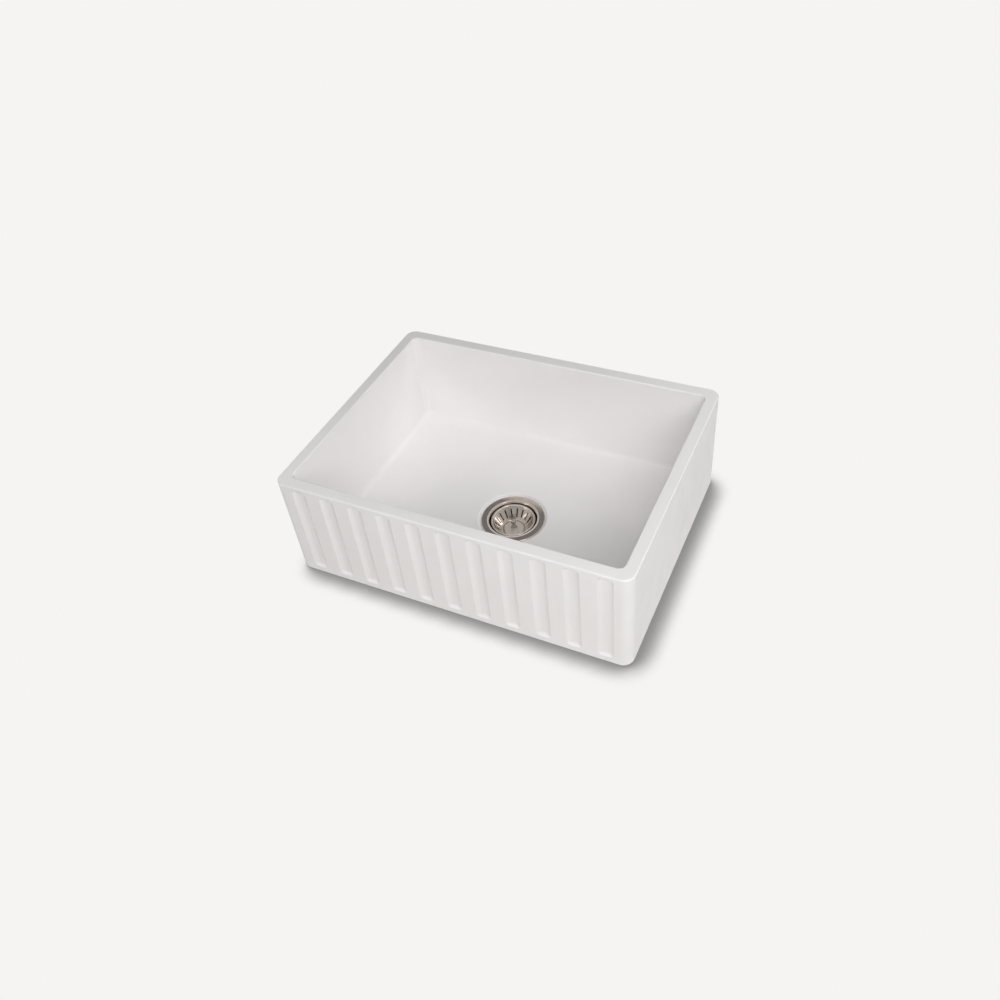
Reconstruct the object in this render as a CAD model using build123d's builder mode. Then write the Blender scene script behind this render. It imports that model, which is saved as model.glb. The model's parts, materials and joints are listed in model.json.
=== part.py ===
from build123d import *
import os
from math import acos, cos, radians, sin, tan

# Farmhouse apron front sink with its basket strainer waste.
#
# Millimetres, +Z up. The apron front faces -Y, and +X is to the right as seen from the front.
# The origin is the middle of the underside, the plane on which the sink rests in its cabinet.
# The fireclay body is one piece. The waste hangs through the outlet hole: a pressed steel
# strainer body is clamped to the clay by a locknut, and a basket with a rubber stopper
# drops into it. The basket lifts out by its knob and turns freely on a small nylon bush.

os.makedirs("parts", exist_ok=True)

# ------------------------------------------------------------ fireclay body
sink_width = 600.0
sink_depth = 452.5
sink_height = 197.5
side_wall = 20.0
front_wall = 21.0
back_wall = 21.0
outer_corner_radius = 18.5
rim_radius = 4.0
foot_radius = 4.0

floor_thickness = 19.5  # underside to the edge of the bowl floor
wall_draft = 0.5  # degrees, so that the bowl leaves its mould
bowl_corner_radius = 11.0
floor_radius = 9.0  # round between the floor and the walls
floor_fall = 3.5  # the floor runs down to the waste by this much

# Upright flutes, as many as the apron front holds: eleven at this width
flute_pitch = 51.5
flute_offset = 3.3  # the row stands this much right of the middle
flute_width = 28.0  # over its rounded lips
flute_end_margin = 24.0  # least plain width beyond the first and last flute
flute_bottom = 12.5  # height of the lower ends
flute_top_margin = 6.0  # from the upper ends to the rim
flute_corner_radius = 7.0
flute_inner_corner = 1.2  # where the corners run out on the flute's floor
flute_depth = 4.5
flute_lip_radius = 4.0
flute_root_radius = 15.0
flute_lip_steps = 2  # sections drawn round the lip
flute_root_steps = 3  # and round the root

# Outlet: a stepped hole that takes a 90 mm basket strainer
waste_x = 5.0
waste_y = -6.0
outlet_radius = 45.0
rebate_clearance = 3.0  # round the strainer flange
rebate_lip_radius = 3.0
rebate_land = 6.0  # level ring of floor round the rebate
flange_below_floor = 3.5
recess_depth = 1.5  # shallow round recess in the underside
recess_margin = 8.0  # from the washer to the edge of the recess

# ------------------------------------------------------------ strainer body
strainer_sheet = 1.0
strainer_depth = 36.0  # flange top to the inside of the bottom
strainer_corner_radius = 6.0
neck_clearance = 2.2  # neck in the outlet hole
flange_lap = 12.0  # flange beyond the edge of the outlet hole
flange_edge_radius = 1.0
flange_edge_gap = 0.3  # from the turned-down edge to the rebate
bead_offset = 2.1  # mouth to the crest of the raised bead
bead_height = 0.6
bead_width = 2.2  # crest to the flat of the flange
bead_radius = 1.2
mouth_drop = 3.0  # flange top to the start of the straight neck
mouth_bend_radius = 2.0
seal_thickness = 1.2
seal_hole_margin = 0.8  # from the outlet hole
seal_edge_margin = 1.0  # from the turned-down edge of the flange

outlet_thread_radius = 23.9  # one and a half inch pipe thread, at its crests
outlet_wall = 3.3
outlet_ledge_width = 1.6  # the bridge stands on it
outlet_length = 22.0
outlet_flange_width = 3.1
outlet_flange_thickness = 1.5

# ------------------------------------------------------------ under-sink clamp
thread_clearance = 0.2
washer_lap = 9.0  # washers beyond the edge of the outlet hole
rubber_washer_thickness = 3.5
friction_washer_thickness = 0.8
locknut_height = 11.0
locknut_inset = 4.5  # from the edge of the washers
locknut_lug_count = 6
locknut_lug_width = 13.0
locknut_lug_reach = 5.5

# ------------------------------------------------------------ basket
basket_sheet = 0.8
basket_rim_gap = 2.3  # round the basket, in the mouth of the strainer body
basket_rim_below_flange = 2.5
basket_rim_width = 2.6
basket_rim_drop = 2.6  # the rim's edge turns down by this much
basket_wall_top = 5.2  # below the flange, where the sloping wall starts
basket_shoulder_width = 0.9
basket_shoulder_fall = 0.3
basket_wall_foot_radius = 23.4
basket_wall_foot_rise = 1.4  # above the floor
basket_ring_outer = 21.6  # the pressed ring round the floor
basket_ring_inner = 17.9
basket_disc_radius = 17.2
basket_step = 1.2  # the ring lies this much lower than the disc
basket_rim_bend = 0.8
basket_shoulder_bend = 1.4
basket_wall_bend = 4.0
basket_ring_bend = 1.2
basket_disc_bend = 0.6
basket_slot_count = 18
basket_slot_width = 1.8
basket_slot_phase = 2.0  # degrees from +X to the first slot
slot_top_below_flange = 6.2
slot_bottom_above_floor = 3.4

stem_radius = 2.5
fit_clearance = 0.05  # round a stem in a washer or nut
post_top_extra = 0.7  # radius of the post over that of its stem, below the knob
post_base_extra = 1.3  # and above the ferrule
ferrule_height = 4.0
ferrule_width = 2.7  # beyond the post
ferrule_edge = 0.8
ferrule_collar = 0.4
knob_radius = 4.8
knob_height = 7.0
knob_foot_width = 0.4  # foot of the knob beyond the post
knob_below_flange = 4.5
spigot_inset = 0.5  # spigot in the knob, less than the stem
spigot_length = 4.0
spigot_end_gap = 0.2

backing_washer_margin = 0.8  # inside the basket's disc
stopper_lap = 9.4  # stopper beyond the bore of the outlet
stopper_seat_gap = 0.3
stopper_hub_thickness = 3.0
stopper_lip_height = 4.2
stopper_lip_width = 4.4
stopper_lip_chamfer = 1.6
stopper_skirt_inset = 1.0  # skirt to the edge of the lip
stopper_hub_margin = 2.0  # hub beyond the plate under it
stopper_plate_radius = 13.0
stopper_plate_thickness = 1.2
stopper_nut_height = 4.5
stopper_nut_wall = 2.0  # stem to the flats

# ------------------------------------------------------------ snap bush and its socket
running_clearance = 0.06
bush_wall = 0.9
bush_flange_width = 1.7
bush_flange_thickness = 1.0
bush_length = 10.4
bush_end_play = 0.2
bush_seat_gap = 0.3
clip_thickness = 0.8
clip_width = 0.7  # beyond the stem
clip_groove_depth = 0.6
clip_mouth_share = 0.8  # opening of the clip over the width of its groove
clip_fit = 0.2  # end play of the clip and of the bush above it
stem_end = 1.0  # stem left below the clip

bridge_below_strainer = 0.2  # top of the socket under the strainer's bottom
bridge_hub_wall = 3.0
bridge_hub_height = 9.8
bridge_ring_width = 2.0
bridge_ring_height = 6.0
bridge_ring_sink = 1.0  # top of the ring under the strainer body
bridge_arm_count = 4
bridge_arm_width = 2.6
bridge_ring_clearance = 0.1

# ------------------------------------------------------------ places worked out from the sizes
bowl_width = sink_width - 2 * side_wall
bowl_length = sink_depth - front_wall - back_wall
bowl_centre_y = (front_wall - back_wall) / 2
bowl_depth = sink_height - floor_thickness
flute_room = sink_width - 2 * (flute_end_margin + flute_offset)
flute_count = 1 + int((flute_room - flute_width) / flute_pitch)

lip_height = floor_thickness - floor_fall
flange_top = lip_height - flange_below_floor
seat_height = flange_top - strainer_sheet - seal_thickness
flange_radius = outlet_radius + flange_lap
rebate_radius = flange_radius + rebate_clearance

thread_radius = outlet_radius - neck_clearance
mouth_radius = thread_radius - strainer_sheet
clamp_bore_radius = thread_radius + thread_clearance
strainer_bottom = flange_top - strainer_depth  # inside of the strainer body
strainer_underside = strainer_bottom - strainer_sheet
washer_radius = outlet_radius + washer_lap
locknut_radius = washer_radius - locknut_inset

outlet_bore_radius = outlet_thread_radius - outlet_wall
outlet_ledge_radius = outlet_bore_radius - outlet_ledge_width
outlet_bottom = strainer_underside - outlet_length
ledge_height = strainer_underside - bridge_ring_sink - bridge_ring_height
stopper_radius = outlet_bore_radius + stopper_lap

# The basket stands on the socket through its bush, so its levels are worked out upwards.
hub_top = strainer_bottom - bridge_below_strainer
bush_shoulder = hub_top + bush_seat_gap
bush_top = bush_shoulder + bush_flange_thickness
bush_bottom = bush_shoulder - bush_length
nut_bottom = bush_top + bush_end_play
nut_top = nut_bottom + stopper_nut_height
plate_top = nut_top + stopper_plate_thickness
stopper_top = plate_top + stopper_hub_thickness
washer_top = stopper_top + basket_step
basket_floor = washer_top + basket_sheet
clip_top = bush_bottom - clip_fit
clip_bottom = clip_top - clip_thickness
stem_bottom = clip_bottom - stem_end

waste_axis = Axis((waste_x, waste_y, 0), (0, 0, 1))
waste_section = Plane(origin=(waste_x, waste_y, 0), x_dir=(1, 0, 0), z_dir=(0, -1, 0))


def waste_level(height):
    """A level plane at this height, centred on the waste."""
    return Plane(origin=(waste_x, waste_y, height))


# ============================================================ fireclay body
# The hollow of the bowl: tapered walls, then a floor that runs down to a level ring.
draft_inset = bowl_depth * tan(radians(wall_draft))
with BuildPart() as bowl_space:
    with BuildSketch(Plane.XY.offset(sink_height)):
        with Locations((0, bowl_centre_y)):
            RectangleRounded(bowl_width, bowl_length, bowl_corner_radius)
    extrude(amount=-bowl_depth, taper=wall_draft)
    with BuildSketch(Plane.XY.offset(floor_thickness)):
        with Locations((0, bowl_centre_y)):
            RectangleRounded(
                bowl_width - 2 * draft_inset,
                bowl_length - 2 * draft_inset,
                bowl_corner_radius - draft_inset,
            )
    with BuildSketch(waste_level(lip_height)):
        Circle(rebate_radius + rebate_land)
    loft(ruled=True)
    floor_outline = edges().filter_by_position(Axis.Z, floor_thickness - 0.01, floor_thickness + 0.01)
    fillet(floor_outline, floor_radius)

# One flute. Its section is an S: an arc that rolls over the lip, then a wider one that turns into
# the flute's floor. The two touch, so the turn follows from the depth and the two radii.
flute_height = sink_height - flute_top_margin - flute_bottom
flute_turn = acos(1 - flute_depth / (flute_lip_radius + flute_root_radius))
flute_flank = (flute_lip_radius + flute_root_radius) * sin(flute_turn)
flute_section = []  # how far inward and how deep
for step in range(flute_lip_steps + 1):
    turn = flute_turn * step / flute_lip_steps
    flute_section.append((flute_lip_radius * sin(turn), flute_lip_radius * (1 - cos(turn))))
for step in range(1, flute_root_steps + 1):
    turn = flute_turn * (1 - step / flute_root_steps)
    flute_section.append((
        flute_flank - flute_root_radius * sin(turn),
        flute_depth - flute_root_radius * (1 - cos(turn)),
    ))

with BuildPart() as flute_space:
    for inward, deep in flute_section:
        level = Plane(origin=(0, deep - sink_depth / 2, 0), x_dir=(1, 0, 0), z_dir=(0, -1, 0))
        with BuildSketch(level):
            with Locations((0, flute_bottom + flute_height / 2)):
                RectangleRounded(
                    flute_width - 2 * inward,
                    flute_height - 2 * inward,
                    max(flute_corner_radius - inward, flute_inner_corner),
                )
    loft()

with BuildPart() as sink_body:
    with BuildSketch():
        RectangleRounded(sink_width, sink_depth, outer_corner_radius)
    extrude(amount=sink_height)
    fillet(edges().group_by(Axis.Z)[0], foot_radius)
    with Locations((flute_offset, 0)):
        with GridLocations(flute_pitch, 1, flute_count, 1):
            add(flute_space.part, mode=Mode.SUBTRACT)
    add(bowl_space.part, mode=Mode.SUBTRACT)
    fillet(edges().group_by(Axis.Z)[-1], rim_radius)
    with BuildSketch(waste_level(lip_height)):
        Circle(rebate_radius)
    extrude(amount=seat_height - lip_height, mode=Mode.SUBTRACT)
    rebate_lip = edges().filter_by(GeomType.CIRCLE).filter_by(
        lambda edge: abs(edge.radius - rebate_radius) < 0.01 and edge.center().Z > seat_height + 0.1
    )
    fillet(rebate_lip, rebate_lip_radius)
    with BuildSketch(waste_level(seat_height)):
        Circle(outlet_radius)
    extrude(amount=-seat_height, mode=Mode.SUBTRACT)
    with BuildSketch(waste_level(0)):
        Circle(washer_radius + recess_margin)
    extrude(amount=recess_depth, mode=Mode.SUBTRACT)
sink_body.part.label = "sink_body"

# ============================================================ strainer body and its seal
# Pressed steel: the flange edge turns down, the mouth has a raised bead, the bottom is open.
half_sheet = strainer_sheet / 2
neck_line = mouth_radius + half_sheet
bottom_line = strainer_bottom - half_sheet
edge_line = flange_radius - half_sheet
bead_line = mouth_radius + bead_offset
with BuildPart() as strainer_body:
    with BuildSketch(waste_section):
        with BuildLine():
            FilletPolyline(
                (edge_line, seat_height + flange_edge_gap),
                (edge_line, flange_top - half_sheet),
                (bead_line + bead_width, flange_top - half_sheet),
                (bead_line, flange_top + bead_height),
                (neck_line, flange_top - mouth_drop),
                (neck_line, bottom_line),
                (outlet_bore_radius, bottom_line),
                radius=(
                    flange_edge_radius, bead_radius, bead_radius, mouth_bend_radius, strainer_corner_radius,
                ),
            )
        trace(line_width=strainer_sheet)
    revolve(axis=waste_axis)
strainer_body.part.label = "strainer_body"

with BuildPart() as flange_seal:
    with BuildSketch(waste_level(seat_height)):
        Circle(flange_radius - strainer_sheet - seal_edge_margin)
        Circle(outlet_radius + seal_hole_margin, mode=Mode.SUBTRACT)
    extrude(amount=seal_thickness)
flange_seal.part.label = "flange_seal"

# ============================================================ threaded outlet
outlet_flange_radius = outlet_thread_radius + outlet_flange_width
with BuildPart() as outlet_nipple:
    with BuildSketch(waste_section):
        with BuildLine():
            Polyline(
                (outlet_bore_radius, strainer_underside),
                (outlet_flange_radius, strainer_underside),
                (outlet_flange_radius, strainer_underside - outlet_flange_thickness),
                (outlet_thread_radius, strainer_underside - outlet_flange_thickness),
                (outlet_thread_radius, outlet_bottom),
                (outlet_ledge_radius, outlet_bottom),
                (outlet_ledge_radius, ledge_height),
                (outlet_bore_radius, ledge_height),
                close=True,
            )
        make_face()
    revolve(axis=waste_axis)
outlet_nipple.part.label = "outlet_nipple"

# The bridge stands on the ledge and carries the socket that the basket drops into.
bush_outer_radius = stem_radius + running_clearance + bush_wall
socket_radius = bush_outer_radius + running_clearance
ring_radius = outlet_bore_radius - bridge_ring_clearance
with BuildPart() as post_bridge:
    with BuildSketch(waste_level(ledge_height)):
        Circle(ring_radius)
        Circle(ring_radius - bridge_ring_width, mode=Mode.SUBTRACT)
        with PolarLocations(ring_radius / 2, bridge_arm_count):
            Rectangle(ring_radius - bridge_ring_width, bridge_arm_width)
    extrude(amount=bridge_ring_height)
    with BuildSketch(waste_level(hub_top)):
        Circle(socket_radius + bridge_hub_wall)
    extrude(amount=-bridge_hub_height)
    with BuildSketch(waste_level(hub_top)):
        Circle(socket_radius)
    extrude(amount=-bridge_hub_height, mode=Mode.SUBTRACT)
post_bridge.part.label = "post_bridge"

# ============================================================ clamp below the sink
friction_top = recess_depth - rubber_washer_thickness
locknut_top = friction_top - friction_washer_thickness

with BuildPart() as under_washer:
    with BuildSketch(waste_level(recess_depth)):
        Circle(washer_radius)
        Circle(clamp_bore_radius, mode=Mode.SUBTRACT)
    extrude(amount=-rubber_washer_thickness)
under_washer.part.label = "under_washer"

with BuildPart() as friction_washer:
    with BuildSketch(waste_level(friction_top)):
        Circle(washer_radius)
        Circle(clamp_bore_radius, mode=Mode.SUBTRACT)
    extrude(amount=-friction_washer_thickness)
friction_washer.part.label = "friction_washer"

with BuildPart() as locknut:
    with BuildSketch(waste_level(locknut_top)):
        Circle(locknut_radius)
        with PolarLocations(locknut_radius, locknut_lug_count):
            Rectangle(2 * locknut_lug_reach, locknut_lug_width)
        Circle(clamp_bore_radius, mode=Mode.SUBTRACT)
    extrude(amount=-locknut_height)
locknut.part.label = "locknut"

# ============================================================ basket cup
half_basket = basket_sheet / 2
rim_line = mouth_radius - basket_rim_gap - half_basket
rim_top = flange_top - basket_rim_below_flange
floor_line = basket_floor - half_basket
shoulder_radius = rim_line - basket_rim_width
wall_top = (shoulder_radius - basket_shoulder_width, flange_top - basket_wall_top)
wall_foot = (basket_wall_foot_radius, basket_floor + basket_wall_foot_rise)
with BuildPart() as cup_sheet:
    with BuildSketch(waste_section):
        with BuildLine():
            FilletPolyline(
                (rim_line, rim_top - basket_rim_drop),
                (rim_line, rim_top - half_basket),
                (shoulder_radius, rim_top - half_basket - basket_shoulder_fall),
                wall_top,
                wall_foot,
                (basket_ring_outer, floor_line - basket_step),
                (basket_ring_inner, floor_line - basket_step),
                (basket_disc_radius, floor_line),
                (stem_radius + fit_clearance, floor_line),
                radius=(
                    basket_rim_bend, basket_shoulder_bend, basket_wall_bend, basket_wall_bend,
                    basket_ring_bend, basket_disc_bend, basket_disc_bend,
                ),
            )
        trace(line_width=basket_sheet)
    revolve(axis=waste_axis)

# One slot: a thin radial blade that follows the slope of the wall.
wall_lean = (wall_top[0] - wall_foot[0]) / (wall_top[1] - wall_foot[1])
slot_top = flange_top - slot_top_below_flange
slot_bottom = basket_floor + slot_bottom_above_floor
slot_top_radius = wall_top[0] + (slot_top - wall_top[1]) * wall_lean
slot_bottom_radius = wall_top[0] + (slot_bottom - wall_top[1]) * wall_lean
slot_reach = 4 * basket_sheet
with BuildPart() as slot_blade:
    with BuildSketch(waste_section):
        with BuildLine():
            Polyline(
                (slot_top_radius - slot_reach, slot_top),
                (slot_top_radius + slot_reach, slot_top),
                (slot_bottom_radius + slot_reach, slot_bottom),
                (slot_bottom_radius - slot_reach, slot_bottom),
                close=True,
            )
        make_face()
    extrude(amount=basket_slot_width / 2, both=True)

with BuildPart() as basket_cup:
    add(cup_sheet.part)
    for slot in range(basket_slot_count):
        turn = basket_slot_phase + slot * 360 / basket_slot_count
        add(slot_blade.part.rotate(waste_axis, turn), mode=Mode.SUBTRACT)
basket_cup.part.label = "basket_cup"

# ============================================================ post, ferrule and knob
ferrule_top = basket_floor + ferrule_height
knob_top = flange_top - knob_below_flange
knob_bottom = knob_top - knob_height
post_base_radius = stem_radius + post_base_extra
post_top_radius = stem_radius + post_top_extra
spigot_radius = stem_radius - spigot_inset
clip_groove_radius = stem_radius - clip_groove_depth

with BuildPart() as lift_post:
    with BuildSketch(waste_section):
        with BuildLine():
            Polyline(
                (0, stem_bottom),
                (stem_radius, stem_bottom),
                (stem_radius, clip_bottom),
                (clip_groove_radius, clip_bottom),
                (clip_groove_radius, clip_top),
                (stem_radius, clip_top),
                (stem_radius, ferrule_top),
                (post_base_radius, ferrule_top),
                (post_top_radius, knob_bottom),
                (spigot_radius, knob_bottom),
                (spigot_radius, knob_bottom + spigot_length),
                (0, knob_bottom + spigot_length),
                close=True,
            )
        make_face()
    revolve(axis=waste_axis)
lift_post.part.label = "lift_post"

with BuildPart() as post_ferrule:
    with BuildSketch(waste_section):
        with BuildLine():
            Polyline(
                (stem_radius + fit_clearance, basket_floor),
                (post_base_radius + ferrule_width, basket_floor),
                (post_base_radius + ferrule_width, basket_floor + ferrule_edge),
                (post_base_radius + ferrule_collar, ferrule_top),
                (stem_radius + fit_clearance, ferrule_top),
                close=True,
            )
        make_face()
    revolve(axis=waste_axis)
post_ferrule.part.label = "post_ferrule"

with BuildPart() as lift_knob:
    with BuildSketch(waste_section):
        with BuildLine():
            Polyline(
                (0, knob_top),
                (0, knob_bottom),
                (post_top_radius + knob_foot_width, knob_bottom),
                (knob_radius, knob_top - knob_radius),
            )
            CenterArc((0, knob_top - knob_radius), knob_radius, 0, 90)
        make_face()
        with BuildLine():
            Polyline(
                (0, knob_bottom),
                (spigot_radius + fit_clearance, knob_bottom),
                (spigot_radius + fit_clearance, knob_bottom + spigot_length + spigot_end_gap),
                (0, knob_bottom + spigot_length + spigot_end_gap),
                close=True,
            )
        make_face(mode=Mode.SUBTRACT)
    revolve(axis=waste_axis)
lift_knob.part.label = "lift_knob"

# ============================================================ stopper stack below the cup
stack_bore_radius = stem_radius + fit_clearance

with BuildPart() as backing_washer:
    with BuildSketch(waste_level(stopper_top)):
        Circle(basket_disc_radius - backing_washer_margin)
        Circle(stack_bore_radius, mode=Mode.SUBTRACT)
    extrude(amount=washer_top - stopper_top)
backing_washer.part.label = "backing_washer"

# Rubber bell: a flat hub, a thin skirt and a thick lip that seals on the strainer bottom.
lip_bottom = strainer_bottom + stopper_seat_gap
lip_top = lip_bottom + stopper_lip_height
lip_middle = lip_bottom + stopper_lip_height / 2
lip_inner = stopper_radius - stopper_lip_chamfer - stopper_lip_width
with BuildPart() as stopper_seal:
    with BuildSketch(waste_section):
        with BuildLine():
            Polyline(
                (stack_bore_radius, stopper_top),
                (basket_ring_outer - basket_sheet, stopper_top),
                (stopper_radius - stopper_skirt_inset, lip_top),
                (stopper_radius, lip_middle),
                (stopper_radius - stopper_lip_chamfer, lip_bottom),
                (lip_inner + stopper_lip_chamfer, lip_bottom),
                (lip_inner, lip_middle),
                (stopper_plate_radius + stopper_hub_margin, plate_top),
                (stack_bore_radius, plate_top),
                close=True,
            )
        make_face()
    revolve(axis=waste_axis)
stopper_seal.part.label = "stopper_seal"

with BuildPart() as stopper_plate:
    with BuildSketch(waste_level(plate_top)):
        Circle(stopper_plate_radius)
        Circle(stack_bore_radius, mode=Mode.SUBTRACT)
    extrude(amount=-stopper_plate_thickness)
stopper_plate.part.label = "stopper_plate"

with BuildPart() as stopper_nut:
    with BuildSketch(waste_level(nut_top)):
        RegularPolygon(stem_radius + stopper_nut_wall, 6, major_radius=False)
        Circle(stack_bore_radius, mode=Mode.SUBTRACT)
    extrude(amount=-stopper_nut_height)
stopper_nut.part.label = "stopper_nut"

with BuildPart() as stem_clip:
    with BuildSketch(waste_level(clip_bottom)):
        Circle(stem_radius + clip_width)
        Circle(clip_groove_radius + fit_clearance, mode=Mode.SUBTRACT)
        with Locations((stem_radius + clip_width, 0)):
            Rectangle(
                2 * (stem_radius + clip_width),
                2 * clip_mouth_share * clip_groove_radius,
                mode=Mode.SUBTRACT,
            )
    extrude(amount=clip_thickness)
stem_clip.part.label = "stem_clip"

# ============================================================ snap bush
with BuildPart() as snap_bush:
    with BuildSketch(waste_level(bush_shoulder)):
        Circle(bush_outer_radius + bush_flange_width)
    extrude(amount=bush_flange_thickness)
    with BuildSketch(waste_level(bush_shoulder)):
        Circle(bush_outer_radius)
    extrude(amount=-bush_length)
    with BuildSketch(waste_level(bush_top)):
        Circle(stem_radius + running_clearance)
    extrude(amount=bush_bottom - bush_top, mode=Mode.SUBTRACT)
snap_bush.part.label = "snap_bush"

# ============================================================ files
pieces = (
    sink_body, strainer_body, flange_seal, outlet_nipple, post_bridge,
    under_washer, friction_washer, locknut,
    basket_cup, lift_post, post_ferrule, lift_knob,
    backing_washer, stopper_seal, stopper_plate, stopper_nut, stem_clip,
    snap_bush,
)
for piece in pieces:
    export_step(piece.part, f"parts/{piece.part.label}.step")
    print(f"{piece.part.label:16s} {piece.part.volume / 1000:10.2f} cm3  valid {piece.part.is_valid}")
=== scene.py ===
# %% [markdown]
# # A fluted fireclay sink
#
# This lesson gives a kitchen sink its looks: a heavy white fireclay casting with a fluted apron, and
# the steel basket strainer in its outlet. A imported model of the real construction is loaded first.
# It says where every piece is and how big it is, so each piece modelled here takes the place of one
# of its nodes. Everything is in metres. X runs to the right, Y to the back and Z up, and zero is the
# middle of the underside, where the sink rests.

# %% Load the frame
import json
from math import acos, cos, degrees, pi, radians, sin, tan

import bmesh
import bpy
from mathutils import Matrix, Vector


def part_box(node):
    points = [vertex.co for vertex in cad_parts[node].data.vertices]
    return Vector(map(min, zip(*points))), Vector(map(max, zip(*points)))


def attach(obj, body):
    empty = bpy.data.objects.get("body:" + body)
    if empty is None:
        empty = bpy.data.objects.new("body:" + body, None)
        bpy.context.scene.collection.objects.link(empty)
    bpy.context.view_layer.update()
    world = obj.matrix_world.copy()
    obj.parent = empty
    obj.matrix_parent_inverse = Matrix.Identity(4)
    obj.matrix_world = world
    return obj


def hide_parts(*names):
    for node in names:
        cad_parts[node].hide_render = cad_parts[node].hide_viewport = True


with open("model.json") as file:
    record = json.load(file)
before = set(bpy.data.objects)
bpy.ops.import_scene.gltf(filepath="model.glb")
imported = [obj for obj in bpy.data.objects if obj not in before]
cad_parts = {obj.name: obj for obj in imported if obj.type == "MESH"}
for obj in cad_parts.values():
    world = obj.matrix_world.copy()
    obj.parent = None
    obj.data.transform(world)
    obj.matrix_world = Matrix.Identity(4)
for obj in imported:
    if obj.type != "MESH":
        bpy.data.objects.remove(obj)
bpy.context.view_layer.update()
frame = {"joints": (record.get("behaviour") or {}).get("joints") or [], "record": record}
MM = 0.001

# %% [markdown]
# ## The camera
#
# The sink is seen from above, over its right front corner. A camera could be aimed by eye, but here
# its place was solved from the straight edges of the rim and the apron, so it is given as a point and
# three turns. The small shifts put the middle of the lens a little beside the middle of the picture.

# %% Camera
camera_place = (0.55587, -0.99965, 1.14975)
camera_turn = (46.156, 4.501, 24.535)  # degrees about X, Y and Z
camera_lens = 32.744  # mm
camera_sensor = 36  # mm across
camera_shift = (-0.01246, -0.00319)  # shares of the width of the picture

bpy.ops.object.camera_add(location=camera_place, rotation=[radians(turn) for turn in camera_turn])
camera = bpy.context.object
camera.name = "camera"
camera.data.lens = camera_lens
camera.data.sensor_width = camera_sensor
camera.data.shift_x, camera.data.shift_y = camera_shift
bpy.context.scene.camera = camera
print("camera to the zero point, m:", round(camera.location.length, 3))

# %% [markdown]
# ## Materials as arithmetic
#
# A finish is a small sum: a colour, a little more of it here, a little less gloss there. Node trees
# hide that sum in boxes and wires, so two short classes let it be written as Python. `Value` stands for
# one output of a node, and adding, subtracting or multiplying values adds the Math nodes.


# %% Values
class Value:
    """One output of a node. Arithmetic on it adds Math nodes to its finish."""

    def __init__(self, finish, socket):
        self.finish = finish
        self.socket = socket

    def math(self, operation, first, second):
        """A Math node on two values or numbers."""
        return self.finish.node("Math", {"operation": operation}, {0: first, 1: second})

    def __add__(self, other):
        return self.math("ADD", self, other)

    def __sub__(self, other):
        return self.math("SUBTRACT", self, other)

    def __mul__(self, other):
        return self.math("MULTIPLY", self, other)

    def __rsub__(self, other):
        return self.math("SUBTRACT", other, self)

    __radd__ = __add__
    __rmul__ = __mul__


# %% [markdown]
# `Finish` is the material. Its method `node` makes any node: its settings first, because some of them
# change its sockets, and then its sockets. The other methods are short names for the few nodes that
# come back again and again.


# %% Finishes
class Finish:
    """A material, or the world, being built from nodes."""

    def __init__(self, owner):
        owner.use_nodes = True
        self.owner = owner
        self.nodes = owner.node_tree.nodes
        self.links = owner.node_tree.links
        self.nodes.clear()

    def node(self, kind, settings, inputs, output=0):
        """Add a node, set it up, feed its sockets with numbers or values, and return an output."""
        made = self.nodes.new("ShaderNode" + kind)
        for name, setting in settings.items():
            setattr(made, name, setting)
        for socket, given in inputs.items():
            if isinstance(given, Value):
                self.links.new(given.socket, made.inputs[socket])
            else:
                made.inputs[socket].default_value = given
        return Value(self, made.outputs[output]) if made.outputs else self.owner

    def mix(self, factor, first, second):
        """A colour between two colours, as far along as the factor says."""
        return self.node("Mix", {"data_type": "RGBA"}, {0: factor, 6: first, 7: second}, output=2)

    def between(self, value, low, high, low_result=0.0, high_result=1.0):
        """Turn a range of this value into another range, smoothly, and stop at its ends."""
        limits = {
            "Value": value, "From Min": low, "From Max": high, "To Min": low_result, "To Max": high_result}
        return self.node("MapRange", {"interpolation_type": "SMOOTHSTEP"}, limits)

    def place(self, centre=(0, 0, 0), stretch=(1, 1, 1)):
        """The place on the object in metres, measured from a centre, and stretched."""
        shift = tuple(-middle * scale for middle, scale in zip(centre, stretch))
        here = self.node("TexCoord", {}, {}, output="Object")
        return self.node("Mapping", {}, {"Vector": here, "Location": shift, "Scale": stretch})

    def noise(self, size, detail=2.0, where=None):
        """Soft noise from 0 to 1, with blobs of about this size in metres."""
        inputs = {"Vector": where or self.place(), "Scale": 1 / size, "Detail": detail}
        return self.node("TexNoise", {}, inputs)

    def bump(self, height, depth, under=None):
        """A normal for a relief of this height map, with a full depth in metres."""
        inputs = {"Height": height, "Distance": depth}
        if under:
            inputs["Normal"] = under
        return self.node("Bump", {}, inputs)


# %% [markdown]
# Colours are written as they are picked on a screen. A shader computes with amounts of light, where
# the middle grey of a screen is only about a fifth of white, so `colour` converts them.


# %% New finishes and colours
def new_finish(name):
    """Start an empty material of this name."""
    return Finish(bpy.data.materials.new(name))


def colour(red, green, blue):
    """A colour written as on a screen, from 0 to 255, in the linear numbers that a socket takes."""
    parts = [part / 255 for part in (red, green, blue)]
    return (*(part / 12.92 if part < 0.04045 else ((part + 0.055) / 1.055) ** 2.4 for part in parts), 1)


# %% [markdown]
# ## The studio: backdrop
#
# A catalogue picture has one flat pale ground. The camera, mirrors and glass see the same paper colour
# all round, and diffuse light gets only a dim warm fill from there. A backdrop that pale would
# otherwise light the sink from every side alike and wash out its flutes.

# %% Backdrop
paper = colour(245, 244, 242)
fill_colour = (1.0, 0.95, 0.88, 1)
fill_strength = 0.06


def rays(finish, *kinds):
    """1 for rays of these kinds, and 0 for all others."""
    return sum(finish.node("LightPath", {}, {}, output=f"Is {kind} Ray") for kind in kinds)


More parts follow.
